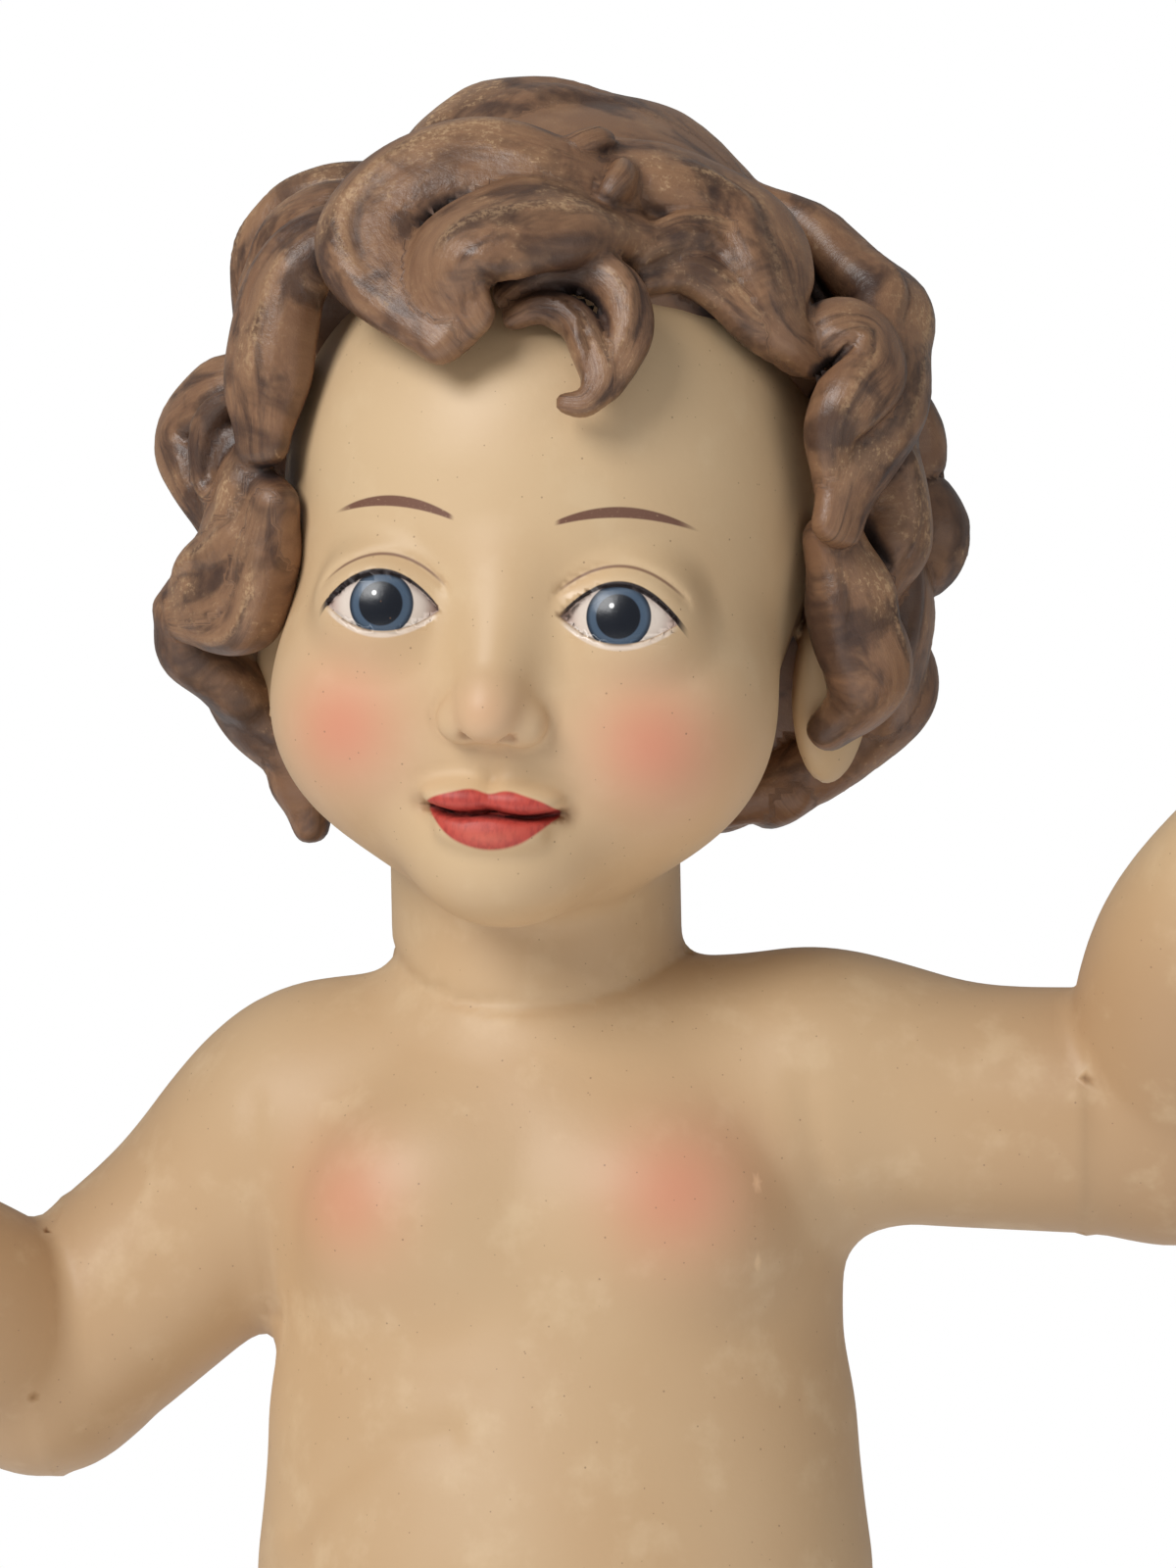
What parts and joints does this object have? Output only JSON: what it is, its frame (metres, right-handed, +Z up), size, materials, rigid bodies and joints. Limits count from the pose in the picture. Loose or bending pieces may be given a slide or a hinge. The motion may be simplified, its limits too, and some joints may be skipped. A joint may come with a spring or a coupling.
{
  "type": "swaddled baby jesus statue",
  "caption": "Painted resin infant with open arms and curly brown hair, legs wrapped in cloth, standing on a low oval base.",
  "frame": {"origin": "middle of the base's flat underside", "axes": "+Z up along the standing figure, -Y the way the figure faces, +X to the side of its raised arm"},
  "size_m": [0.2353, 0.1211, 0.4319],
  "materials": {
    "painted_resin": "cast resin, hand painted skin, hair and cloth, satin",
    "base_paint": "cast resin painted brown, satin"
  },
  "bodies": {
    "root": {"infant_figure": "painted_resin", "base": "base_paint"}
  },
  "joints": []
}
